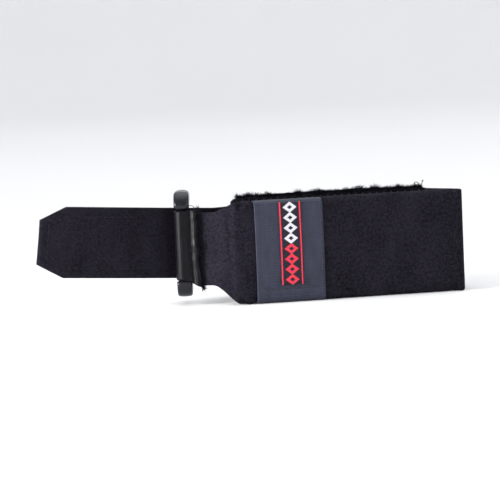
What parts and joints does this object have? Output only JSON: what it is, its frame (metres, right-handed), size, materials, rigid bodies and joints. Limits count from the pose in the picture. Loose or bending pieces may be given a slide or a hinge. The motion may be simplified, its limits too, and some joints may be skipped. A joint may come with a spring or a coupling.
{
  "type": "padded string mute for a guitar neck",
  "caption": "Padded hook-and-loop string mute for a guitar neck: plush-lined foam pad, elastic back, and a strap that passes through a plastic ring and folds back on itself.",
  "frame": {"origin": "centre of the bounding box's base; the part stands on its lower edge", "axes": "+X runs across the guitar neck from the ring and tab to the folded end, +Y from the strings to the back of the neck, +Z along the neck. The label faces -Y"},
  "size_m": [0.1068, 0.0312, 0.0281],
  "materials": {
    "loop_fabric": "matte brushed loop",
    "foam": "open-cell foam",
    "plush": "fine pile",
    "slate_satin": "satin ribbon",
    "woven_stripe": "woven stripe",
    "thread": "twisted thread",
    "elastic_webbing": "ribbed elastic",
    "moulded_plastic": "glossy",
    "hook_tape": "nylon hooks"
  },
  "bodies": {
    "band": {"outer_band": "loop_fabric", "foam_core": "foam", "plush_lining": "plush", "label_band": "slate_satin", "label_ribbon": "woven_stripe", "label_edge_seam": "thread", "label_hem_seam": "thread", "pad_seam_upper": "thread", "pad_seam_lower": "thread", "ring_loop_seam": "thread", "elastic_back": "elastic_webbing", "elastic_seam": "thread"},
    "ring": {"ring": "moulded_plastic"},
    "strap": {"strap_run": "loop_fabric", "strap_joint_seam": "thread"},
    "tab": {"tab_strap": "loop_fabric", "hook_patch": "hook_tape", "hook_patch_seam": "thread"}
  },
  "joints": [
    {"name": "ring_swivel", "type": "hinge", "parent": "band", "child": "ring", "pos_m": [-0.01701, -0.00717, 0.01515], "axis": [0, 0, -1], "range_deg": [-18, 10]},
    {"name": "strap_pull", "type": "slide", "parent": "band", "child": "strap", "axis": [-0.8802, -0.468, 0.0785], "range_m": [0, 0.004], "stiffness_N_per_m": 300},
    {"name": "tab_fold", "type": "hinge", "parent": "strap", "child": "tab", "pos_m": [-0.01922, 0.00156, 0.01527], "axis": [-0.0693, -0.0368, -0.9969], "range_deg": [0, 164]}
  ]
}
